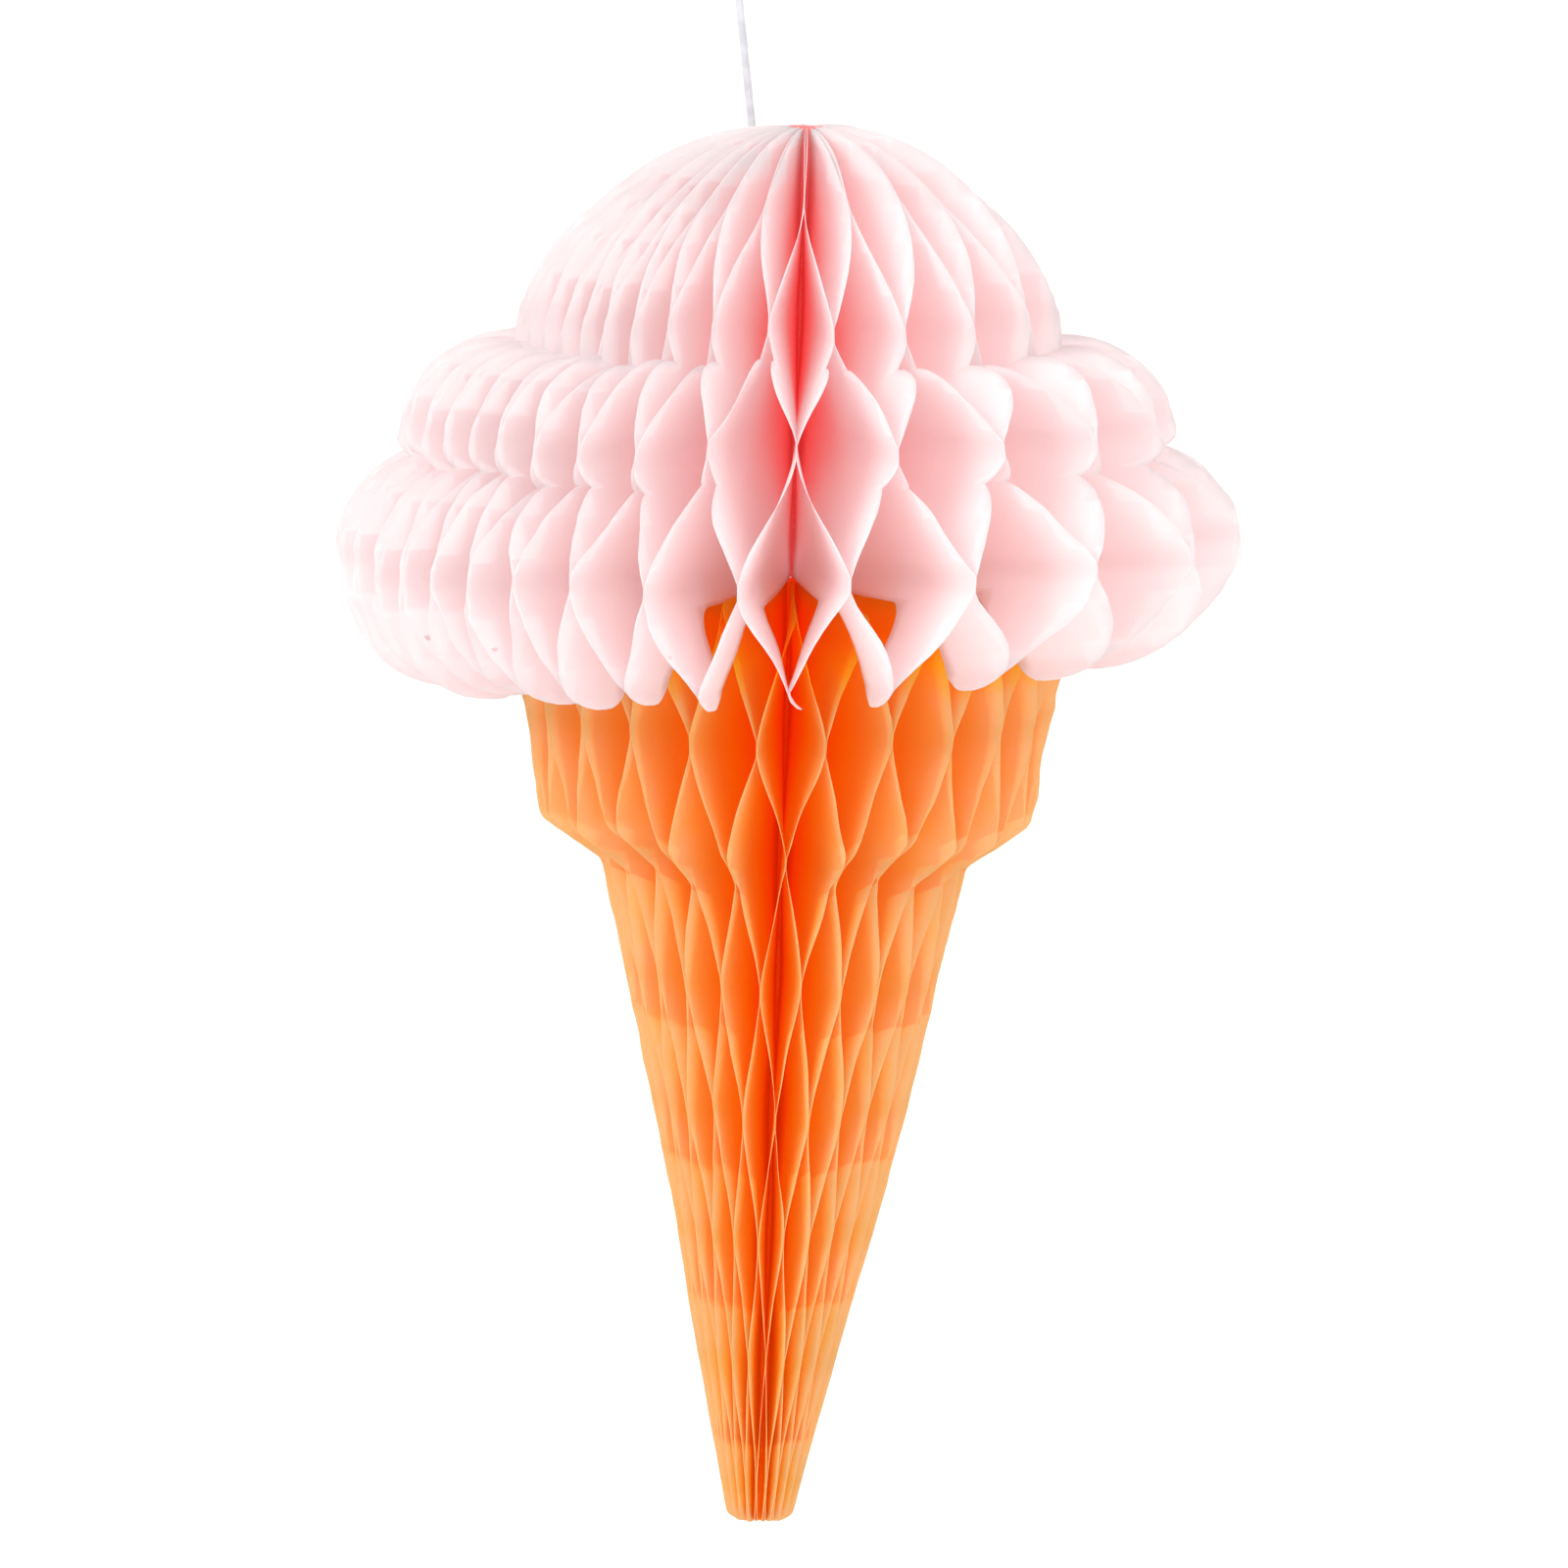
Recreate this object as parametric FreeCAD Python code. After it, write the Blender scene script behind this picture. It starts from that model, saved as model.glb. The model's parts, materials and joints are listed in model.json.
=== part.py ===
"""Hanging ice-cream cone of honeycomb tissue, held open in the round.

A pad is a stack of die-cut tissue sheets, glued to each other on level lines
that alternate from sheet to sheet. Two pads, the scoop and the cone, are bound
along one straight edge, the spine, between two card covers. The covers turn
about the spine until they meet back to back, which spreads both pads round it.
"""
import FreeCAD, Part
import math
import os
from FreeCAD import Vector

# Cone pad: a long cone under a wider cup. Heights are from the tip.
tip_radius = 6.9
tip_round = 2.4
neck_radius = 39.0
neck_height = 143.5
foot_radius = 52.4
foot_height = 152.7
foot_round = 2.2
rim_radius = 61.0
rim_round = 3.5
cone_height = 203.5

# Scoop pad: a dome over two tiers. The lower tier is a skirt that hangs round
# the cup. Heights are from the scoop's underside. The dome's outline is a
# quarter of an ellipse at fullness 1, and has a flatter shoulder below that.
pad_gap = 1.0
skirt_clearance = 1.6
undercut_round = 5.0
hem_radius = 70.0
hem_drop = 21.5
hem_round = 4.0
skirt_radius = 96.0
skirt_height = 7.5
waist_radius = 79.9
waist_height = 25.8
collar_radius = 82.5
collar_height = 32.0
dome_radius = 58.0
dome_foot_height = 49.6
dome_rise = 45.9
dome_fullness = 0.82

# How far each outline arc swells from the straight line between its ends.
hem_bulge = 8.8
skirt_bulge = 3.0
waist_bulge = 1.4
collar_bulge = 6.2

# Tissue sheets, glued in pairs. The scoop is not spread evenly: its sheets are
# crowded together about one azimuth, by a shift of that many radians at most.
tissue_thickness = 0.08
scoop_pairs = 24
cone_pairs = 24
crowding = 0.56
crowded_at = 119.0
turning_clearance = 0.05

# Card covers and the adhesive tabs that hold them back to back.
card_thickness = 0.3
tab_thickness = 0.2
tab_width = 12.0
tab_length = 16.0
tab_from_edge = 10.0

# Hanging string: it runs up the seam from a hole in the fixed cover. The hole
# is behind the spine, so the body hangs with its top leaning away from it.
string_diameter = 1.8
string_drop = 62.0
string_clearance = 0.1
string_bend_radius = 1.2
hole_distance = 18.0
hole_below_top = 10.0
hole_clearance = 0.4
notch_clearance = 1.2
knot_diameter = 4.0
knot_thickness = 1.9
loop_knot_diameter = 4.4
loop_knot_length = 5.0
loop_width = 9.0
loop_length = 15.0
knot_round = 0.6
lean = 12.7
seam_azimuth = 128.0

# Sizes that follow from those above. The spine is just thick enough for the
# outermost sheets to clear the covers. Flat outlines start inside the spine,
# at the core, and are then cut back to its surface.
first_angle = 360 / (2 * max(scoop_pairs, cone_pairs) + 1)
cover_reach = tab_thickness / 2 + card_thickness + tissue_thickness
spine_radius = cover_reach / math.sin(math.radians(first_angle))
underside = cone_height + pad_gap
body_height = underside + dome_foot_height + dome_rise
undercut_radius = rim_radius + skirt_clearance
sheet_start = spine_radius + turning_clearance
core_radius = spine_radius / 2
string_radius = string_diameter / 2
hole_height = body_height - hole_below_top
string_offset = tab_thickness / 2 - string_clearance - string_radius


def spot(radius, height):
    """Point of an outline, in the plane of a sheet at azimuth 0."""
    return Vector(radius, 0, height)


def bulged(start, end, bulge):
    """Arc that swells by bulge to the right of the way from start to end."""
    chord = end - start
    side = Vector(chord.z, 0, -chord.x).normalize()
    middle = (start + end) / 2 + side * bulge
    return Part.Arc(start, middle, end).toShape()


def rounded(before, corner, after, radius):
    """Arc that rounds the corner between two straight runs."""
    back = (before - corner).normalize()
    ahead = (after - corner).normalize()
    half_angle = back.getAngle(ahead) / 2
    reach = radius / math.tan(half_angle)
    centre = corner + (back + ahead).normalize() * (radius / math.sin(half_angle))
    middle = centre + (corner - centre).normalize() * radius
    return Part.Arc(corner + back * reach, middle, corner + ahead * reach).toShape()


def shoulder(side, top, fullness):
    """Curve that leaves side upright and reaches top level."""
    curve = Part.BezierCurve()
    curve.setPoles([side, spot(side.x, top.z), top])
    curve.setWeight(2, fullness * math.sqrt(0.5))
    return curve.toShape()


def closed_face(curves):
    """Flat face inside the curves, with straight edges across their gaps."""
    edges = []
    for index, curve in enumerate(curves):
        following = curves[(index + 1) % len(curves)]
        edges.append(curve)
        end = curve.valueAt(curve.LastParameter)
        start = following.valueAt(following.FirstParameter)
        if end.distanceToPoint(start) > 1e-6:
            edges.append(Part.LineSegment(end, start).toShape())
    return Part.Face(Part.Wire(edges))


def cone_face():
    """Half outline of the cone pad, from the spine out."""
    tip = spot(tip_radius, 0)
    neck = spot(neck_radius, neck_height)
    foot = spot(foot_radius, foot_height)
    rim = spot(rim_radius, cone_height)
    inner_edge = Part.LineSegment(spot(core_radius, cone_height), spot(core_radius, 0)).toShape()
    return closed_face([
        inner_edge,
        rounded(spot(core_radius, 0), tip, neck, tip_round),
        rounded(tip, neck, foot, foot_round),
        rounded(neck, foot, rim, foot_round),
        rounded(foot, rim, spot(core_radius, cone_height), rim_round),
    ])


def scoop_face():
    """Half outline of the scoop pad, from the spine out."""
    undercut = spot(undercut_radius, underside)
    hem_inside = spot(undercut_radius, underside - hem_drop + hem_round)
    hem = spot(hem_radius, underside - hem_drop)
    skirt = spot(skirt_radius, underside + skirt_height)
    waist = spot(waist_radius, underside + waist_height)
    collar = spot(collar_radius, underside + collar_height)
    dome_foot = spot(dome_radius, underside + dome_foot_height)
    pole = spot(core_radius, body_height)
    inner_edge = Part.LineSegment(pole, spot(core_radius, underside)).toShape()
    return closed_face([
        inner_edge,
        rounded(spot(core_radius, underside), undercut, hem_inside, undercut_round),
        bulged(hem_inside, hem, hem_round / 3),
        bulged(hem, skirt, hem_bulge),
        bulged(skirt, waist, skirt_bulge),
        bulged(waist, collar, waist_bulge),
        bulged(collar, dome_foot, collar_bulge),
        shoulder(dome_foot, pole, dome_fullness),
    ])


def plate(face, thickness, offset, start):
    """Solid of a face, its near side at the given distance across azimuth 0."""
    solid = face.extrude(Vector(0, thickness, 0))
    solid.translate(Vector(0, offset, 0))
    return solid.cut(Part.makeCylinder(start, body_height))


def turned(solid, azimuth):
    """Copy of a solid, turned about the spine."""
    copy = solid.copy()
    copy.rotate(Vector(), Vector(0, 0, 1), azimuth)
    return copy


def sheet_angles(pair_count, crowded):
    """Angles of the sheets from the fixed cover, which closes the circle."""
    count = 2 * pair_count
    angles = []
    for number in range(1, count + 1):
        even = 360 * number / (count + 1)
        shift = math.sin(math.radians(even - crowded_at)) + math.sin(math.radians(crowded_at))
        angles.append(even - math.degrees(crowded * shift))
    return angles


def leaves(prefix, face, pair_count, crowded):
    """Nodes of one pad, each a glued pair of neighbouring sheets."""
    sheet = plate(face, tissue_thickness, -tissue_thickness / 2, sheet_start)
    angles = sheet_angles(pair_count, crowded)
    nodes = {}
    for pair in range(pair_count):
        sheets = [turned(sheet, angle) for angle in angles[2 * pair:2 * pair + 2]]
        nodes["%s_leaf_%02d" % (prefix, pair + 1)] = Part.makeCompound(sheets)
    return nodes


def card(offset, start):
    """Card cover in one piece, with the outline of both pads."""
    bridge = Part.makeBox(undercut_radius / 2, card_thickness, pad_gap, Vector(0, offset, cone_height))
    bridge = bridge.cut(Part.makeCylinder(start, body_height))
    cone_card = plate(cone_face(), card_thickness, offset, start)
    scoop_card = plate(scoop_face(), card_thickness, offset, start)
    return cone_card.fuse([bridge, scoop_card]).removeSplitter()


def covers():
    """Card covers on both sides of the seam, with the string's way out."""
    fixed = card(tab_thickness / 2, spine_radius)
    moving = card(-tab_thickness / 2 - card_thickness, sheet_start)
    hole_centre = spot(hole_distance, hole_height)
    hole = Part.makeCylinder(string_radius + hole_clearance, 4, hole_centre - Vector(0, 2, 0), Vector(0, 1, 0))
    slot_half = string_radius + notch_clearance
    slot_round = Part.makeCylinder(slot_half, 4, hole_centre - Vector(0, 2, 0), Vector(0, 1, 0))
    slot = Part.makeBox(2 * slot_half, 4, 3 * hole_below_top, hole_centre - Vector(slot_half, 2, 0))
    slot.rotate(hole_centre, Vector(0, 1, 0), lean)
    moving = moving.cut(slot_round.fuse(slot))
    return {"cover_fixed": fixed.cut(hole), "cover_moving": moving}


def spines():
    """Bound edges of the two pads, rolled into one round core."""
    cone_core = Part.makeCylinder(spine_radius, cone_height)
    scoop_core = Part.makeCylinder(spine_radius, body_height - underside, Vector(0, 0, underside))
    return {"cone_spine": cone_core, "scoop_spine": scoop_core}


def tabs():
    """Adhesive tabs between the covers, one on each width of card."""
    half_cone = (tip_radius + neck_radius) / 2
    places = {
        "tab_scoop": (waist_radius, underside + waist_height),
        "tab_cup": (foot_radius, (foot_height + cone_height) / 2),
        "tab_cone": (half_cone + tab_from_edge / 2, neck_height / 2),
    }
    nodes = {}
    for name, (edge_radius, height) in places.items():
        corner = Vector(edge_radius - tab_from_edge - tab_width, -tab_thickness / 2, height - tab_length / 2)
        nodes[name] = Part.makeBox(tab_width, tab_thickness, tab_length, corner)
    return nodes


def tube(path, radius):
    """Round tube along a wire of straight runs and tangent arcs."""
    first = path.Edges[0]
    start = first.valueAt(first.FirstParameter)
    section = Part.Wire(Part.makeCircle(radius, start, first.tangentAt(first.FirstParameter)))
    return path.makePipeShell([section], True, False)


def string_foot():
    """Where the string's middle line reaches the height of its hole."""
    return Vector(hole_distance, string_offset, hole_height)


def string_tail():
    """End of the string: it bends through the hole to a knot behind the card."""
    across = Vector(0, 1, 0)
    up = Vector(math.sin(math.radians(lean)), 0, math.cos(math.radians(lean)))
    centre = string_foot() + (across + up) * string_bend_radius
    bend_start = centre - across * string_bend_radius
    bend_middle = centre - (across + up) * (string_bend_radius / math.sqrt(2))
    bend_end = centre - up * string_bend_radius
    card_back = Vector(bend_end.x, tab_thickness / 2 + card_thickness, bend_end.z)
    path = Part.Wire([
        Part.LineSegment(bend_start + up * string_diameter, bend_start).toShape(),
        Part.Arc(bend_start, bend_middle, bend_end).toShape(),
        Part.LineSegment(bend_end, card_back).toShape(),
    ])
    knot = Part.makeCylinder(knot_diameter / 2, knot_thickness, card_back, across)
    knot = knot.makeFillet(knot_round, knot.Edges)
    return {"string_tail": tube(path, string_radius), "string_knot": knot}


def hanging_string():
    """Plumb string with a knotted loop; the loop bears on a hook at the origin."""
    top = Vector(0, 0, string_radius)
    bottom = Vector(0, 0, -loop_length)
    bend = (loop_width - string_diameter) / 2
    side = Vector(bend, 0, 0)
    upper = top - Vector(0, 0, bend)
    lower = bottom + Vector(0, 0, bend)
    ring = Part.Wire([
        Part.LineSegment(lower + side, upper + side).toShape(),
        Part.Arc(upper + side, top, upper - side).toShape(),
        Part.LineSegment(upper - side, lower - side).toShape(),
        Part.Arc(lower - side, bottom, lower + side).toShape(),
    ])
    knot_foot = bottom - Vector(0, 0, loop_knot_length / 2)
    knot = Part.makeCylinder(loop_knot_diameter / 2, loop_knot_length, knot_foot)
    knot = knot.makeFillet(knot_round, knot.Edges)
    string_end = string_bend_radius + string_diameter - string_drop
    straight = Part.makeCylinder(string_radius, knot_foot.z - string_end, Vector(0, 0, string_end))
    return {
        "hanging_string": straight,
        "loop_knot": knot,
        "hanging_loop": tube(ring, string_radius).cut(knot),
    }


def hung(solid):
    """Solid moved from upright, spine on Z, to where it hangs on the string."""
    placed = solid.copy()
    placed.translate(string_foot() * -1)
    placed.rotate(Vector(), Vector(0, 1, 0), -lean)
    placed.rotate(Vector(), Vector(0, 0, 1), seam_azimuth)
    placed.translate(Vector(0, 0, -string_drop))
    return placed


def build():
    """Every node of the decoration by name."""
    body = covers()
    body.update(spines())
    body.update(tabs())
    body.update(string_tail())
    body.update(leaves("scoop", scoop_face(), scoop_pairs, crowding))
    body.update(leaves("cone", cone_face(), cone_pairs, 0))
    nodes = {name: hung(solid) for name, solid in body.items()}
    nodes.update(hanging_string())
    return nodes


os.makedirs("parts", exist_ok=True)
for name, solid in build().items():
    solid.exportStep("parts/%s.step" % name)
    print(name, "solids", len(solid.Solids), "volume", round(solid.Volume, 2), "valid", solid.isValid())
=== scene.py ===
"""Hanging ice-cream cone of honeycomb tissue paper.

The pieces follow the order of making up: the string it hangs from, the cards
with their tabs, the bound spines, then the tissue sheets of cone and scoop.
Paper parts are made upright in millimetres, with the spine on Z, the tip of
the cone at the origin and the seam at azimuth 0, and are then hung.
"""
import bpy
import bmesh
import json
import math
import random
from mathutils import Matrix, Vector, geometry, noise


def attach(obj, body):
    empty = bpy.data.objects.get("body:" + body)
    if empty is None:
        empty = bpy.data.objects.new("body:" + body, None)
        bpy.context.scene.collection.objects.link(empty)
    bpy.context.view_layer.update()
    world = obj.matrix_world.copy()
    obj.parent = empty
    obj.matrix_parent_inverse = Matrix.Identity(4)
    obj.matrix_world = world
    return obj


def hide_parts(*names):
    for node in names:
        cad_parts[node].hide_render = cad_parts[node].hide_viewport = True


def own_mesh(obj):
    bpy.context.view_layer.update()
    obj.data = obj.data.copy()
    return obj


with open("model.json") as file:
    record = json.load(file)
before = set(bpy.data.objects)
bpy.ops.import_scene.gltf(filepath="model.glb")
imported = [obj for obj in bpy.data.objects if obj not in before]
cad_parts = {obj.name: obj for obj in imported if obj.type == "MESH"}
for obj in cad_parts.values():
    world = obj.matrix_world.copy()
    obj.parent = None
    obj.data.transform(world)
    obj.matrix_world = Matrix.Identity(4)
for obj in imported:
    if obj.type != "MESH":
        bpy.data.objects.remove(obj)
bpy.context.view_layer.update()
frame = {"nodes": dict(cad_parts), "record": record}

# --- How the body hangs ------------------------------------------------------
# The body hangs from a hole beside its spine, so it leans away from the string.
# The fan joint gives the spine, and the seam lies in the string's plumb plane.
joints = {joint["name"]: joint for joint in frame["record"]["behaviour"]["joints"]}
fan = joints["fan"]
plumb = Vector((0, 0, 1))
spine_up = -Vector(fan["axis"]).normalized()
spine_spot = Vector(fan["pos_m"])
spine_node = frame["nodes"]["cone_spine"].data
tip_level = min((vertex.co - spine_spot).dot(spine_up) for vertex in spine_node.vertices)
seam_out = (plumb - spine_up * plumb.dot(spine_up)).normalized()
upright = Matrix((seam_out, spine_up.cross(seam_out), spine_up)).transposed().to_4x4()
upright.translation = spine_spot + spine_up * tip_level
hang = upright @ Matrix.Scale(0.001, 4)

# --- Camera ------------------------------------------------------------------
# A long lens from two metres away, level with the room. It sees a little of
# the dome's top, because the body leans towards it.
front_azimuth = math.radians(142)
camera_distance = 1980
camera_height = 430
aim_height = 159.6
camera_roll = math.radians(1.94)

camera_spot = hang @ Vector((camera_distance * math.cos(front_azimuth),
                             camera_distance * math.sin(front_azimuth), camera_height))
ahead = (hang @ Vector((0, 0, aim_height)) - camera_spot).normalized()
body_up = (spine_up - ahead * spine_up.dot(ahead)).normalized()
camera_up = body_up * math.cos(camera_roll) - ahead.cross(body_up) * math.sin(camera_roll)
camera = bpy.data.objects.new("camera", bpy.data.cameras.new("camera"))
camera.data.lens = 215
camera.data.sensor_width = 36
camera.data.clip_end = 60
camera.matrix_world = Matrix((ahead.cross(camera_up), camera_up, -ahead)).transposed().to_4x4()
camera.matrix_world.translation = camera_spot
bpy.context.collection.objects.link(camera)
bpy.context.scene.camera = camera

# --- String, its loop and its knots ------------------------------------------
# Soft white cotton cord of two strands laid round each other. It is threaded
# through the fixed card and knotted behind it, runs up the seam, and ends in a
# loop tied off with a round knot.
string_width = 0.0018
strand_width = 0.00170
lay_length = 0.019
string_foot = Vector((0, 0, -0.0620))
string_route = [(0, 0, -0.0590), (0, 0, -0.0380), (0, 0, -0.0175)]
loop_route = [(0, 0, -0.0150), (0.0022, 0, -0.0138), (0.0040, 0, -0.0100), (0.0038, 0, -0.0050),
              (0.0034, 0, -0.0006), (0, 0, 0.0020), (-0.0034, 0, -0.0006), (-0.0038, 0, -0.0050),
              (-0.0040, 0, -0.0100), (-0.0022, 0, -0.0138), (0, 0, -0.0150)]
string_white = (0.66, 0.66, 0.69)
string_grey = (0.57, 0.57, 0.61)


class Value:
    """A socket on its way through a material, for sums in Python."""

    def __init__(self, finish, socket):
        self.finish = finish
        self.socket = socket

    def sum(self, operation, first, second):
        return self.finish.node("ShaderNodeMath", {"operation": operation}, {0: first, 1: second})

    def __add__(self, other):
        return self.sum("ADD", self, other)

    def __sub__(self, other):
        return self.sum("SUBTRACT", self, other)

    def __rsub__(self, other):
        return self.sum("SUBTRACT", other, self)

    def __mul__(self, other):
        return self.sum("MULTIPLY", self, other)

    __radd__ = __add__
    __rmul__ = __mul__


class Finish:
    """A material while its nodes are put in."""

    def __init__(self, name):
        self.material = bpy.data.materials.new(name)
        self.material.use_nodes = True
        self.tree = self.material.node_tree
        self.tree.nodes.clear()

    def node(self, kind, settings=(), sockets=(), output=0):
        """New node with its settings made and its sockets filled."""
        node = self.tree.nodes.new(kind)
        for name, setting in dict(settings).items():
            if name == "stops":
                for index, (place, colour) in enumerate(setting):
                    if index > 1:
                        node.color_ramp.elements.new(place)
                    node.color_ramp.elements[index].position = place
                    node.color_ramp.elements[index].color = (*colour, 1)
            else:
                setattr(node, name, setting)
        for name, value in dict(sockets).items():
            socket = node.inputs[name]
            if isinstance(value, Value):
                self.tree.links.new(value.socket, socket)
            elif socket.type == "RGBA":
                socket.default_value = (*value, 1)
            else:
                socket.default_value = value
        return Value(self, node.outputs[output]) if node.outputs else None

    def mix(self, share, first, second):
        """Colour between two colours."""
        return self.node("ShaderNodeMix", {"data_type": "RGBA"}, {0: share, 6: first, 7: second}, 2)

    def step(self, value, low, high):
        """Smooth step from 0 where the value is low to 1 where it is high."""
        return self.node("ShaderNodeMapRange", {"interpolation_type": "SMOOTHSTEP"},
                         {"Value": value, "From Min": low, "From Max": high})

    def noise(self, spot, scale, detail):
        """Soft noise, scale features to a metre."""
        return self.node("ShaderNodeTexNoise", (),
                         {"Vector": spot, "Scale": scale, "Detail": detail})

    def surface(self, shader):
        self.node("ShaderNodeOutputMaterial", (), {"Surface": shader})
        return self.material


def cotton():
    """Matt spun fibre: fine hairs on the strands, greyer here and there."""
    finish = Finish("cotton_cord")
    spot = finish.node("ShaderNodeTexCoord", output=3)
    hairs = finish.noise(spot, 2800, 3)
    shade = finish.step(finish.noise(spot, 300, 2), 0.35, 0.65)
    bump = finish.node("ShaderNodeBump", (), {"Strength": 0.4, "Distance": 0.0001, "Height": hairs})
    return finish.surface(finish.node("ShaderNodeBsdfPrincipled", (), {
        "Base Color": finish.mix(shade, string_grey, string_white), "Roughness": 0.75 + 0.2 * hairs,
        "Normal": bump, "Sheen Weight": 0.3}))


def smooth_line(route, resolution):
    """Points along the smooth line that a route's points pull a cord into."""
    curve = bpy.data.curves.new("route", "CURVE")
    curve.dimensions = "3D"
    spline = curve.splines.new("NURBS")
    spline.points.add(len(route) - 1)
    for point, place in zip(spline.points, route):
        point.co = (*place, 1)
    spline.order_u = 3
    spline.use_endpoint_u = True
    spline.resolution_u = resolution
    holder = bpy.data.objects.new("route", curve)
    mesh = bpy.data.meshes.new_from_object(holder)
    points = [vertex.co.copy() for vertex in mesh.vertices]
    bpy.data.objects.remove(holder)
    bpy.data.meshes.remove(mesh)
    return points


def laid_cord(line):
    """Two strands laid round each other along a line."""
    bm = bmesh.new()
    swing = (string_width - strand_width) / 2
    for strand_turn in (0, math.pi):
        side = Vector((0.3, 1, 0.2))
        turn = strand_turn
        last_edges = []
        for index, point in enumerate(line):
            before = line[max(index - 1, 0)]
            onward = (line[min(index + 1, len(line) - 1)] - before).normalized()
            side = (side - onward * side.dot(onward)).normalized()
            other = onward.cross(side)
            turn += 2 * math.pi * (point - before).length / lay_length
            place = Matrix((side, other, onward)).transposed().to_4x4()
            place.translation = point + (side * math.cos(turn) + other * math.sin(turn)) * swing
            ring = bmesh.ops.create_circle(bm, segments=8, radius=strand_width / 2,
                                           matrix=place)["verts"]
            edges = list(dict.fromkeys(edge for vertex in ring for edge in vertex.link_edges))
            if last_edges:
                bmesh.ops.bridge_loops(bm, edges=edges + last_edges)
            else:
                bmesh.ops.edgeloop_fill(bm, edges=edges)
            last_edges = edges
        bmesh.ops.edgeloop_fill(bm, edges=last_edges)
    bmesh.ops.recalc_face_normals(bm, faces=bm.faces)
    return bm


def finished(name, bm, material, body, nodes=(), place=Matrix.Identity(4), smooth=True):
    """Piece of a bmesh, put in its place, riding on its body."""
    bm.transform(place)
    for face in bm.faces:
        face.smooth = smooth
    mesh = bpy.data.meshes.new(name)
    bm.to_mesh(mesh)
    bm.free()
    mesh.materials.append(material)
    piece = bpy.data.objects.new(name, mesh)
    bpy.context.collection.objects.link(piece)
    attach(piece, body)
    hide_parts(*nodes)
    return piece


cord_cotton = cotton()
run_line = smooth_line(string_route, 40)
string = finished("string_run", laid_cord(run_line), cord_cotton, "hanger",
                  ["hanging_string"])
loop = finished("string_loop", laid_cord(smooth_line(loop_route, 10)), cord_cotton, "hanger",
                ["hanging_loop"])

# Round knot under the loop: turns of the cord wound tightly one below another.
wrap_radius = 0.00128
wrap_rise = 0.00162
wrap_foot = -0.0167
wraps = [(wrap_radius * math.cos(math.pi * eighth / 4),
          wrap_radius * math.sin(math.pi * eighth / 4),
          wrap_foot + wrap_rise * eighth / 8) for eighth in range(17)]
loop_knot = finished("string_loop_knot", laid_cord(smooth_line(wraps, 4)), cord_cotton, "hanger",
                     ["loop_knot"])

# The tail goes through the card's hole, and a flat knot holds it behind.
behind = upright.to_3x3() @ Vector((0, 1, 0))
along_card = behind.cross(plumb)
tail_route = [string_foot + plumb * 0.0030, string_foot + plumb * 0.0014,
              string_foot + behind * 0.0001, string_foot + behind * 0.0014]
tail = finished("string_tail_end", laid_cord(smooth_line(tail_route, 12)), cord_cotton,
                "fixed_cover", ["string_tail"])
flat_turn_radius = 0.00105
flat_turn_behind = 0.00235
flat_turn_creep = 0.00002
knot_turns = []
for eighth in range(13):
    turn = math.pi * eighth / 4
    turned_side = plumb * math.cos(turn) + along_card * math.sin(turn)
    knot_turns.append(string_foot + turned_side * flat_turn_radius
                      + behind * (flat_turn_behind + flat_turn_creep * eighth))
card_knot = finished("string_card_knot", laid_cord(smooth_line(knot_turns, 4)), cord_cotton,
                     "fixed_cover", ["string_knot"])

# --- Card covers and tabs ----------------------------------------------------
# Die-cut white board on the two ends of the pads. Three adhesive tabs between
# the boards hold them back to back when the pads are fanned open.
board_white = (0.66, 0.65, 0.62)
board_grey = (0.58, 0.57, 0.54)
tab_film = (0.90, 0.89, 0.84)
tab_edge = (0.80, 0.78, 0.70)


def board():
    """Uncoated board: long pale fibres, a faint mottle, a rough surface."""
    finish = Finish("white_board")
    spot = finish.node("ShaderNodeTexCoord", output=3)
    mottle = finish.noise(spot, 220, 4)
    stretched = finish.node("ShaderNodeVectorMath", {"operation": "MULTIPLY"},
                            {0: spot, 1: (900, 900, 3600)})
    fibres = finish.noise(stretched, 1, 3)
    shade = finish.step(mottle * 0.6 + fibres * 0.4, 0.38, 0.6)
    bump = finish.node("ShaderNodeBump", (),
                       {"Strength": 0.25, "Distance": 0.0001, "Height": fibres})
    return finish.surface(finish.node("ShaderNodeBsdfPrincipled", (), {
        "Base Color": finish.mix(shade, board_grey, board_white), "Roughness": 0.7 + 0.2 * fibres,
        "Normal": bump}))


def adhesive():
    """Satin adhesive film with a slight orange-peel and cloudy patches."""
    finish = Finish("adhesive_film")
    spot = finish.node("ShaderNodeTexCoord", output=3)
    clouds = finish.step(finish.noise(spot, 500, 3), 0.35, 0.7)
    peel = finish.noise(spot, 2400, 2)
    bump = finish.node("ShaderNodeBump", (), {"Strength": 0.3, "Distance": 0.00005, "Height": peel})
    return finish.surface(finish.node("ShaderNodeBsdfPrincipled", (), {
        "Base Color": finish.mix(clouds, tab_edge, tab_film), "Roughness": 0.3 + 0.2 * peel,
        "Normal": bump}))


cover_board = board()
tab_adhesive = adhesive()
for name in ("cover_fixed", "cover_moving"):
    frame["nodes"][name].material_slots[0].material = cover_board
for name in ("tab_scoop", "tab_cup", "tab_cone"):
    frame["nodes"][name].material_slots[0].material = tab_adhesive

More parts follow.
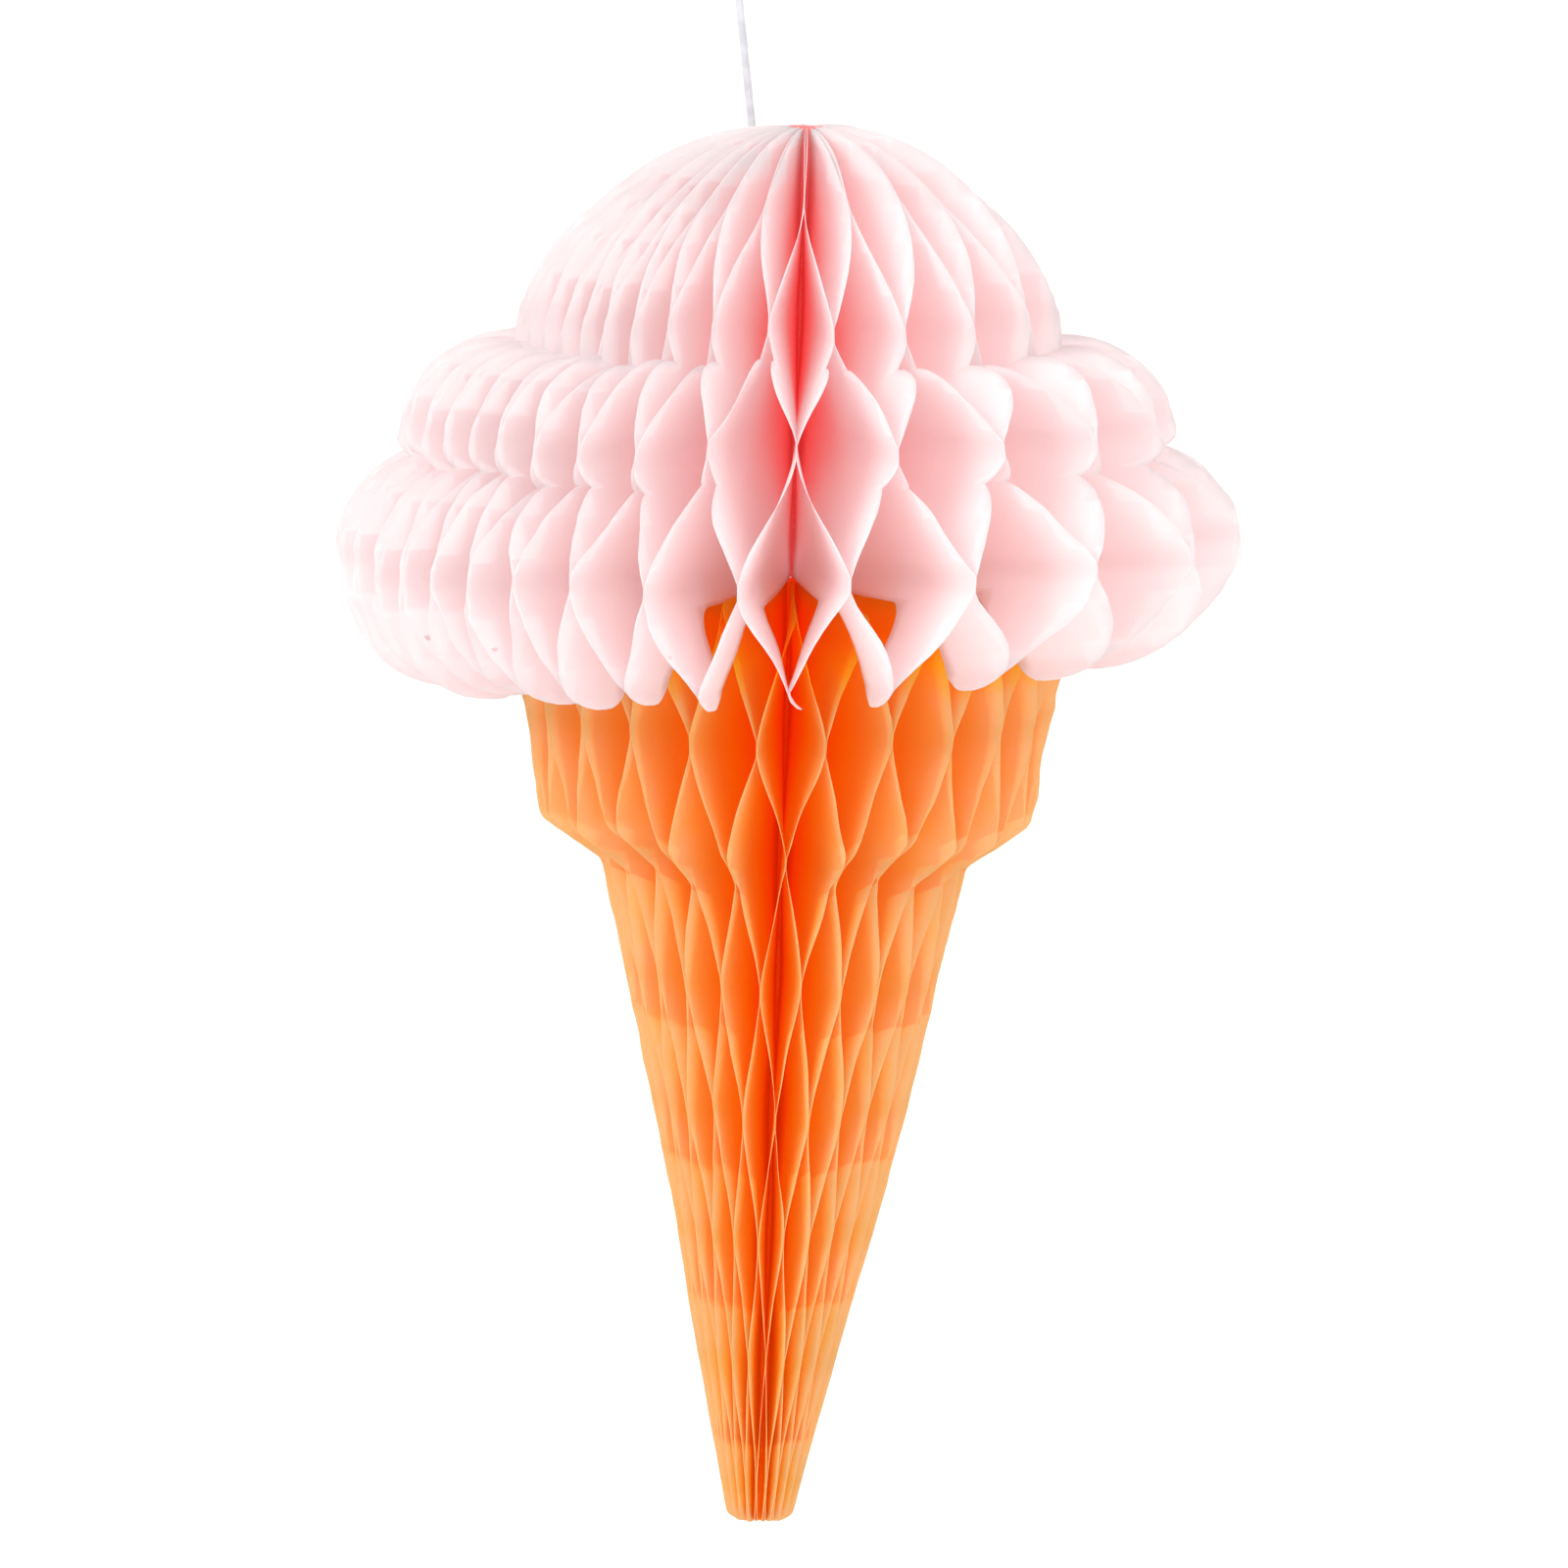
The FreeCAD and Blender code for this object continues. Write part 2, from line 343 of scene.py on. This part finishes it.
# --- Tissue ------------------------------------------------------------------
# Thin dyed tissue. Light soaks through it and bounces between the sheets, so
# it is nearly white at a cut edge and glows deeper in a fold. Its colour paints
# this in: painted light near a cut edge, and painted shade with a painted glow
# deeper in. A sheet's depth attribute is the share of the way in from its cut
# edge to the spine and sets how much painted shade and glow it takes, its glue
# attribute marks the glued strips, and its UV map is its flat cut.
# Scoop colours: painted light at a cut edge, pale and middle tones between, painted shade deep in
# the folds, and a painted glow by depth.
scoop_edge_painted_light = (0.965, 0.935, 0.94)
scoop_pale = (0.965, 0.91, 0.915)
scoop_mid = (0.965, 0.865, 0.865)
scoop_fold_painted_shade = (0.95, 0.33, 0.32)
scoop_painted_glow = [(0, (0.03, 0.025, 0.025)), (0.3, (0.09, 0.058, 0.058)), (1, (0.14, 0.004, 0.004))]
# Cone colours the same way: painted light at a cut edge, painted fold shade deep in, and a painted
# glow by depth.
cone_edge_painted_light = (0.965, 0.64, 0.30)
cone_pale = (0.965, 0.58, 0.14)
cone_mid = (0.96, 0.54, 0.02)
cone_fold_painted_shade = (0.95, 0.28, 0.003)
cone_painted_glow = [(0, (0.02, 0.011, 0.001)), (0.4, (0.10, 0.036, 0.0)), (1, (0.13, 0.005, 0.0))]


def tissue(name, edge, pale, middle, deep, glow, soaked):
    """Dyed tissue with fine long fibres and faint clouds, its colour painted from near white at a
    cut edge to a deep fold shade with a painted glow.
    """
    finish = Finish(name)
    depth = finish.node("ShaderNodeAttribute", {"attribute_name": "depth"}, output=2)
    glue = finish.node("ShaderNodeAttribute", {"attribute_name": "glue"}, output=2)
    flat = finish.node("ShaderNodeUVMap", {"uv_map": "flat_cut"})
    fibres = finish.node("ShaderNodeTexNoise", {"noise_dimensions": "2D"},
                         {"Vector": flat, "Scale": 1100, "Detail": 4, "Roughness": 0.65,
                          "Distortion": 1.2})
    clouds = finish.node("ShaderNodeTexNoise", {"noise_dimensions": "2D"},
                         {"Vector": flat, "Scale": 70, "Detail": 3})
    # Painted light and shade by depth: near white at a cut edge, deep and red in a fold.
    tone_stops = [(0.02, edge), (0.14, pale), (0.42, middle), (1, deep)]
    tone = finish.node("ShaderNodeValToRGB", {"stops": tone_stops},
                       {"Fac": depth + (clouds - 0.5) * 0.2})
    # Painted glow: emission that grows with depth, for light soaking through and between the
    # sheets.
    painted_glow_colour = finish.node("ShaderNodeValToRGB", {"stops": glow}, {"Fac": depth})
    tone = finish.mix(0.2 * glue, tone, middle)
    tone = finish.mix(finish.step(fibres, 0.52, 0.72) * 0.5, tone, pale)
    bump = finish.node("ShaderNodeBump", (),
                       {"Strength": 0.3, "Distance": 0.0002, "Height": fibres + clouds})
    paper = finish.node("ShaderNodeBsdfPrincipled", (), {
        "Base Color": tone, "Roughness": 0.85, "Specular IOR Level": 0.15, "Normal": bump,
        "Emission Color": painted_glow_colour, "Emission Strength": 1.0})
    through = finish.node("ShaderNodeBsdfTranslucent", (), {"Color": soaked})
    finish.material.cycles.emission_sampling = "NONE"
    return finish.surface(finish.node("ShaderNodeMixShader", (), {0: 0.36, 1: paper, 2: through}))


scoop_tissue = tissue("scoop_tissue", scoop_edge_painted_light, scoop_pale, scoop_mid, scoop_fold_painted_shade, scoop_painted_glow,
                      (0.97, 0.84, 0.84))
cone_tissue = tissue("cone_tissue", cone_edge_painted_light, cone_pale, cone_mid, cone_fold_painted_shade, cone_painted_glow,
                     (0.97, 0.56, 0.10))

# --- Spines ------------------------------------------------------------------
# The bound edges of a pad's sheets, rolled into a round core that is rough
# with their folds and closed at its ends with dried paste.
spine_radius = 3.753
spine_groove = 0.35
paste_hollow = 0.15
cone_height = 203.5
underside = 204.5
body_height = 300.0


def bound_edge(foot, top):
    """Round bundle of folded sheet edges between two heights."""
    bm = bmesh.new()
    middle = Matrix.Translation((0, 0, (foot + top) / 2))
    ring = bmesh.ops.create_cone(bm, cap_ends=True, segments=96, radius1=spine_radius,
                                 radius2=spine_radius, depth=top - foot, matrix=middle)["verts"]
    caps = [face for face in bm.faces if len(face.verts) > 4]
    for vertex in ring[::2]:
        vertex.co.xy *= 1 - spine_groove / spine_radius
    for vertex in ring[1::2]:
        vertex.co.xy *= 1 - spine_groove / spine_radius * (0.3 if vertex.index % 3 else 0)
    bmesh.ops.inset_region(bm, faces=caps, thickness=0.5, depth=-paste_hollow)
    for level in range(1, 24):
        height = foot + (top - foot) * level / 24
        bmesh.ops.bisect_plane(bm, geom=bm.verts[:] + bm.edges[:] + bm.faces[:], dist=1e-5,
                               plane_co=(0, 0, height), plane_no=(0, 0, 1))
    for vertex in bm.verts:
        if vertex.co.xy.length > spine_radius * 0.8:
            vertex.co.xy *= 0.985 + 0.015 * noise.noise(vertex.co * 0.9)
    depth = bm.verts.layers.float.new("depth")
    glue = bm.verts.layers.float.new("glue")
    # The whole spine takes the deepest painted fold shade and painted glow.
    for vertex in bm.verts:
        vertex[depth] = 1.0
        vertex[glue] = 0.0
    flat_cut = bm.loops.layers.uv.new("flat_cut")
    for face in bm.faces:
        for loop_corner in face.loops:
            place = loop_corner.vert.co
            azimuth = math.atan2(place.y, place.x)
            loop_corner[flat_cut].uv = (azimuth * 0.0038, place.z * 0.001)
    return bm


finished("spine_cone", bound_edge(0, cone_height), cone_tissue, "fixed_cover",
         ["cone_spine"], hang, smooth=False)
finished("spine_scoop", bound_edge(underside, body_height), scoop_tissue, "fixed_cover",
         ["scoop_spine"], hang, smooth=False)

# --- Cone sheets -------------------------------------------------------------
# Die-cut tissue in the half outline of a cone under a cup. Neighbours are glued
# to each other on level strips, at one set of heights within a pair and half
# way between those from pair to pair, so each sheet is pulled into waves.
sheet_start = spine_radius + 0.05
tissue_thickness = 0.08
sheet_gap = 0.062
pair_count = 24
first_angle = 360 / (2 * pair_count + 1)
left_azimuth = front_azimuth - math.pi / 2

# Outline of the cone and its cup: radii and heights of the corners.
tip_radius = 6.9
neck_radius = 39.0
neck_height = 143.5
foot_radius = 52.4
foot_height = 152.7
rim_radius = 61.0

# Glue strips, each with its height and what it joins.
cone_strips = [(-19.7, "pair"), (8.2, "between"), (36.1, "pair"), (64.0, "between"),
               (91.9, "pair"), (119.8, "between"), (147.7, "pair"), (175.6, "between"),
               (203.5, "pair")]
cone_strip_height = 3.2
# Painted shade on the cup's top under the skirt: heights and the depth it is raised to.
cone_shade = [(184, 0), (196, 0.7)]

# Hand work: strips laid a little high or low, waves pulled unevenly in degrees,
# cuts a little ragged, margins that curl.
strip_scatter = 1.7
wave_unevenness = 0.7
long_ragged = 0.6
short_ragged = 0.35
margin_width = 9.0
margin_curl = 1.6

# The lowest corner of the front leaf of the scoop curls sideways into a thin tail.
curled_leaf = "scoop_leaf_14"
curl_level = 187.5
curl_reach = 4
curl = 2.0

# Room for the folded stack: how far a cover's face is from the seam, how far
# the outermost leaves move in from it, and half the step within a pair.
card_face = 0.4
fold_room = 0.30
fold_step = 0.045

# The cone bows to the right at these heights, and its cup is tilted.
cone_bow = [(0, 0.4), (70, 1.8), (150, 0.5), (203, 0.5)]
cup_tilt = 0.013


def line_to(bm, vertex, radius, height):
    """Draws a straight cut on from a vertex and gives its end."""
    end = bmesh.ops.extrude_vert_indiv(bm, verts=[vertex])["verts"][0]
    end.co = (radius, 0, height)
    return end


def arc_to(bm, vertex, radius, height, bulge, steps):
    """Draws a cut on from a vertex that swells by bulge to its right."""
    chord = Vector((radius, 0, height)) - vertex.co
    right = Vector((chord.z, 0, -chord.x)).normalized()
    arc_radius = (chord.length_squared / 4 + bulge ** 2) / (2 * bulge)
    centre = vertex.co + chord / 2 + right * (bulge - arc_radius)
    sweep = 2 * math.atan2(chord.length / 2, arc_radius - bulge)
    spun = bmesh.ops.spin(bm, geom=[vertex], cent=centre, axis=(0, -1, 0), angle=sweep, steps=steps)
    return [part for part in spun["geom_last"] if isinstance(part, bmesh.types.BMVert)][0]


def round_corner(bm, vertex, reach):
    """Rounds a corner that the cut turns at."""
    bmesh.ops.bevel(bm, geom=[vertex], offset=reach, segments=5, profile=0.5,
                    affect="VERTICES", material=-1)


def cone_cut():
    """Flat cut of one cone sheet, from the spine out."""
    bm = bmesh.new()
    first = bm.verts.new((sheet_start, 0, 0))
    tip = line_to(bm, first, tip_radius, 0)
    neck = line_to(bm, tip, neck_radius, neck_height)
    foot = line_to(bm, neck, foot_radius, foot_height)
    rim = line_to(bm, foot, rim_radius, cone_height)
    last = line_to(bm, rim, sheet_start, cone_height)
    bm.edges.new((last, first))
    bmesh.ops.edgeloop_fill(bm, edges=bm.edges[:])
    round_corner(bm, tip, 1.8)
    round_corner(bm, neck, 1.0)
    round_corner(bm, foot, 1.6)
    round_corner(bm, rim, 3.2)
    return bm


def ruled(bm, strips, strip_height, column):
    """Cuts a flat sheet into rows that follow its glue strips, and columns."""
    lowest = min(vertex.co.z for vertex in bm.verts)
    highest = max(vertex.co.z for vertex in bm.verts)
    widest = max(vertex.co.x for vertex in bm.verts)
    rows = []
    for (line, _), (next_line, _) in zip(strips, strips[1:]):
        free = next_line - line - strip_height
        rows += [line - strip_height / 2, line]
        rows += [line + strip_height / 2 + free * part / 8 for part in range(8)]
    for height in rows:
        if lowest + 0.3 < height < highest - 0.3:
            bmesh.ops.bisect_plane(bm, geom=bm.verts[:] + bm.edges[:] + bm.faces[:], dist=1e-4,
                                   plane_co=(0, 0, height), plane_no=(0, 0, 1))
    radius = sheet_start + column
    while radius < widest:
        bmesh.ops.bisect_plane(bm, geom=bm.verts[:] + bm.edges[:] + bm.faces[:], dist=1e-4,
                               plane_co=(radius, 0, 0), plane_no=(1, 0, 0))
        radius += column
    return bm


def ways_in(bm, cut):
    """Distance of every vertex from the cut edge, but for its spine side and
    a level cut across its top, which are out of the light."""
    top = max(vertex.co.z for vertex in cut.verts)
    edge = [edge for edge in cut.edges
            if max(edge.verts[0].co.x, edge.verts[1].co.x) > sheet_start + 0.01
            and min(edge.verts[0].co.z, edge.verts[1].co.z) < top - 0.01]
    lengths = []
    for vertex in bm.verts:
        nearest = 1e9
        for side in edge:
            start, end = side.verts[0].co, side.verts[1].co
            spot, share = geometry.intersect_point_line(vertex.co, start, end)
            spot = start.lerp(end, min(max(share, 0), 1))
            nearest = min(nearest, (vertex.co - spot).length)
        lengths.append(nearest)
    return lengths


def sheet_angles(crowding, crowded_at):
    """Angles of the sheets round the spine, the two cards counted in."""
    angles = []
    for number in range(2 * pair_count + 2):
        even = number * first_angle
        shift = math.sin(math.radians(even - crowded_at)) + math.sin(math.radians(crowded_at))
        angles.append(even - math.degrees(crowding * shift))
    return angles


def level(value, table):
    """Value between the rows of a table of heights and amounts."""
    for (low, amount), (high, next_amount) in zip(table, table[1:]):
        if value <= high:
            break
    return amount + (next_amount - amount) * min(max((value - low) / (high - low), 0), 1)


def pull(height, strips, strip_height):
    """How far a sheet is pulled from its pair to its other neighbour."""
    for (line, kind), (next_line, _) in zip(strips, strips[1:]):
        if height <= next_line:
            break
    share = (height - line - strip_height / 2) / (next_line - line - strip_height)
    share = min(max(share, 0), 1)
    share = 0.78 * share + 0.22 * share * share * (3 - 2 * share)
    return share if kind == "pair" else 1 - share


def pad(prefix, cut, strips, strip_height, angles, material, shape, shade):
    """All the sheets of one pad, each bent from the same flat cut. The shade
    table gives how deep a height lies in the shade of the pad above it."""
    flat_area = sum(face.calc_area() for face in cut.faces) * 1e-6
    rows = ruled(cut.copy(), strips, strip_height, 7.0)
    lengths = ways_in(rows, cut)
    rng = random.Random(prefix)
    joints_off = [[rng.uniform(-1, 1) * strip_scatter for _ in strips]
                  for _ in range(2 * pair_count + 1)]
    for number in range(1, 2 * pair_count + 1):
        first_of_pair = number % 2 == 1
        partner = number + 1 if first_of_pair else number - 1
        neighbour = number - 1 if first_of_pair else number + 1
        pair_angle = (angles[number] + angles[partner]) / 2
        far_angle = (angles[number] + angles[neighbour]) / 2
        card_side = 0
        if neighbour in (0, 2 * pair_count + 1):
            far_angle = angles[neighbour]
            card_side = card_face
        side = -1 if first_of_pair else 1
        pair_joint = min(number, partner)
        far_joint = min(number, neighbour)
        scatter = [(line, joints_off[pair_joint if kind == "pair" else far_joint][index])
                   for index, (line, kind) in enumerate(strips)]
        seed = Vector((rng.uniform(0, 99), rng.uniform(0, 99), rng.uniform(0, 99)))
        leaf = "%s_leaf_%02d" % (prefix, (number + 1) // 2)
        bm = rows.copy()
        depth = bm.verts.layers.float.new("depth")
        glue = bm.verts.layers.float.new("glue")
        flat_cut = bm.loops.layers.uv.new("flat_cut")
        for face in bm.faces:
            for corner in face.loops:
                place = corner.vert.co
                corner[flat_cut].uv = (place.x * 0.001 + number * 0.37, place.z * 0.001)
        for vertex, length in zip(bm.verts, lengths):
            radius, _, height = vertex.co
            # Depth sets the painted shade and glow; the shade table raises it where the pad lies in
            # the painted shade of the one above.
            vertex[depth] = max(length / (length + radius), level(height, shade))
            near_line = min(abs(height - line) for line, _ in strips)
            vertex[glue] = max(1 - near_line / strip_height, 0)
            share = pull(height, strips, strip_height)
            loose = 4 * share * (1 - share)
            margin = max(1 - length / margin_width, 0)
            uneven = noise.noise(seed + vertex.co * 0.03) * wave_unevenness * loose
            curling = noise.noise(seed + Vector((0, 5, height * 0.05)))
            uneven += curling * margin_curl * margin * loose
            angle = pair_angle + (far_angle - pair_angle) * share + uneven
            apart = side * (sheet_gap * (1 - share) - (sheet_gap + card_side) * share)
            ragged = long_ragged * noise.noise(seed + Vector((0, 0, height * 0.11))) * radius / 60
            ragged += short_ragged * noise.noise(seed + Vector((7, 0, height * 0.37))) * radius / 60
            turn = math.radians(angle) + apart / radius
            if leaf == curled_leaf and height < curl_level:
                turn += curl * ((curl_level - height) / curl_reach) ** 2 / radius
            settled = height + level(height, scatter) * min(radius / 30, 1)
            vertex.co = shape(radius + ragged, turn, settled)
        sheet = finished("%s_sheet_%02d" % (prefix, number), bm, material, leaf,
                         [leaf], hang)
        wall = sheet.modifiers.new("wall", "SOLIDIFY")
        wall.thickness = tissue_thickness * 0.001
        wall.offset = 0
        middle = math.radians(pair_angle)
        across = upright.to_3x3() @ Vector((-math.sin(middle), math.cos(middle), 0))
        off_middle = fold_room * (1 - pair_angle / 180) + side * fold_step
        folded_to = spine_spot + across * off_middle * 0.001
        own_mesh(sheet)


def cone_shape(radius, turn, height):
    """Point of a cone sheet, where the pad bows a little to the right."""
    rightward = -math.cos(turn - left_azimuth)
    bow = level(height, cone_bow) * rightward * min(radius / 30, 1)
    tilt = cup_tilt * radius * rightward * level(height, [(100, 0), (145, 1)])
    bowed = radius + bow
    return Vector((bowed * math.cos(turn), bowed * math.sin(turn), height + tilt))


pad("cone", cone_cut(), cone_strips, cone_strip_height, sheet_angles(0, 0), cone_tissue,
    cone_shape, cone_shade)

# --- Scoop sheets ------------------------------------------------------------
# The same, in the half outline of a dome over two tiers. The lower tier is a
# skirt that hangs round the cup. The sheets stand closer on the left.
# Outline from the undercut round the cup out to the hem and up to the dome.
undercut_radius = 62.6
undercut_height = 187.0
hem_radius = 70.0
hem_height = 183.0
skirt_radius = 96.0
skirt_height = 212.0
waist_radius = 79.9
waist_height = 230.3
collar_radius = 82.5
collar_height = 236.5
dome_radius = 58.0
dome_foot_height = 254.1
dome_flattening = 0.055
scoop_strips = [(158.0, "between"), (185.5, "pair"), (210.0, "between"), (237.5, "pair"),
                (261.2, "between"), (287.8, "pair"), (350.0, "between")]
scoop_strip_height = 3.2
scoop_shade = [(underside, 0), (body_height, 0)]
scoop_crowding = 0.56
crowded_at = 119
# The scoop leans to the left at these heights, and is tilted and drawn up.
scoop_lean = [(209, 0.5), (238, 2.1), (270, 2.1), (300, 1.1)]
scoop_tilt = 0.027
slack_level = 255
slack_pull = 0.10


def scoop_shape(radius, turn, height):
    """Point of a scoop sheet. The pad leans left above its skirt, sags on the
    left, and is drawn up where its sheets are pulled wide, on the right."""
    rightward = -math.cos(turn - left_azimuth)
    lean = -level(height, scoop_lean) * rightward * min(radius / 50, 1)
    height += scoop_tilt * radius * rightward
    if height < slack_level:
        drawn = slack_pull * (1 + rightward) / 2 * (radius / 90) ** 2
        height = slack_level + (height - slack_level) * (1 - drawn)
    leaned = radius + lean
    return Vector((leaned * math.cos(turn), leaned * math.sin(turn), height))


def scoop_cut():
    """Flat cut of one scoop sheet, from the spine out."""
    bm = bmesh.new()
    first = bm.verts.new((sheet_start, 0, underside))
    undercut = line_to(bm, first, undercut_radius, underside)
    inside = line_to(bm, undercut, undercut_radius, undercut_height)
    hem = arc_to(bm, inside, hem_radius, hem_height, 1.3, 4)
    skirt = arc_to(bm, hem, skirt_radius, skirt_height, 8.8, 12)
    waist = arc_to(bm, skirt, waist_radius, waist_height, 3.0, 10)
    collar = arc_to(bm, waist, collar_radius, collar_height, 1.4, 5)
    dome_foot = arc_to(bm, collar, dome_radius, dome_foot_height, 6.2, 12)
    below = set(bm.verts)
    spun = bmesh.ops.spin(bm, geom=[dome_foot], cent=(sheet_start, 0, dome_foot_height),
                          axis=(0, -1, 0), angle=math.pi / 2, steps=20)
    pole = [part for part in spun["geom_last"] if isinstance(part, bmesh.types.BMVert)][0]
    for vertex in bm.verts:
        if vertex not in below:
            out = (vertex.co.x - sheet_start) / (dome_radius - sheet_start)
            up = (vertex.co.z - dome_foot_height) / (dome_radius - sheet_start)
            flat = 1 - dome_flattening * 4 * out * out * up * up
            vertex.co.x = sheet_start + out * flat * (dome_radius - sheet_start)
            vertex.co.z = dome_foot_height + up * flat * (body_height - dome_foot_height)
    bm.edges.new((pole, first))
    bmesh.ops.edgeloop_fill(bm, edges=bm.edges[:])
    round_corner(bm, undercut, 5.0)
    return bm


pad("scoop", scoop_cut(), scoop_strips, scoop_strip_height,
    sheet_angles(scoop_crowding, crowded_at), scoop_tissue, scoop_shape, scoop_shade)

# --- Room and light ----------------------------------------------------------
# A pale floor that turns up into a wall all the way round, and two large soft
# lights: a key high on the left, and a weaker one on the right.
floor_level = -0.95
floor_radius = 4.0
wall_radius = 5.0
wall_top = 4.0
bm = bmesh.new()
start = bm.verts.new((0.01, 0, floor_level))
edge = bmesh.ops.extrude_vert_indiv(bm, verts=[start])["verts"][0]
edge.co = (floor_radius, 0, floor_level)
turn_up = (floor_radius, 0, floor_level + wall_radius - floor_radius)
spun = bmesh.ops.spin(bm, geom=[edge], cent=turn_up, axis=(0, -1, 0), angle=math.pi / 2, steps=12)
corner = [part for part in spun["geom_last"] if isinstance(part, bmesh.types.BMVert)][0]
top = bmesh.ops.extrude_vert_indiv(bm, verts=[corner])["verts"][0]
top.co = (wall_radius, 0, wall_top)
bmesh.ops.spin(bm, geom=bm.verts[:] + bm.edges[:], cent=(0, 0, 0), axis=(0, 0, 1),
               angle=2 * math.pi, steps=64, use_merge=True)
bmesh.ops.recalc_face_normals(bm, faces=bm.faces)
bmesh.ops.reverse_faces(bm, faces=bm.faces)
for face in bm.faces:
    face.smooth = True
mesh = bpy.data.meshes.new("studio_floor")
bm.to_mesh(mesh)
bm.free()
finish = Finish("studio_white")
spot = finish.node("ShaderNodeTexCoord", output=3)
tone = finish.mix(finish.noise(spot, 0.8, 1), (0.74, 0.74, 0.74), (0.76, 0.76, 0.76))
mesh.materials.append(finish.surface(finish.node("ShaderNodeBsdfPrincipled", (), {
    "Base Color": tone, "Roughness": 0.9, "Emission Color": (1, 1, 1), "Emission Strength": 0.36})))
mesh.materials[0].cycles.emission_sampling = "NONE"
floor = bpy.data.objects.new("studio_floor", mesh)
bpy.context.collection.objects.link(floor)

world = bpy.data.worlds.new("white_room")
bpy.context.scene.world = world
world.use_nodes = True
world.node_tree.nodes["Background"].inputs["Color"].default_value = (1, 1, 1, 1)
world.node_tree.nodes["Background"].inputs["Strength"].default_value = 0.9

body_middle = hang @ Vector((0, 0, 200))
lights = [("key", 1.3, 1.0, 1.6, 1.2, 16), ("fill", -1.6, 0.3, 1.2, 1.4, 4)]
for name, left, up, back, size, power in lights:
    light = bpy.data.objects.new(name, bpy.data.lights.new(name, "AREA"))
    light.data.size = size
    light.data.energy = power
    offset = ahead.cross(camera_up) * -left + plumb * up - ahead * back
    light.location = body_middle + offset
    light.rotation_euler = offset.to_track_quat("Z", "Y").to_euler()
    bpy.context.collection.objects.link(light)

scene = bpy.context.scene
scene.view_settings.view_transform = "Standard"
scene.cycles.max_bounces = 16
scene.cycles.diffuse_bounces = 10
scene.cycles.transmission_bounces = 10
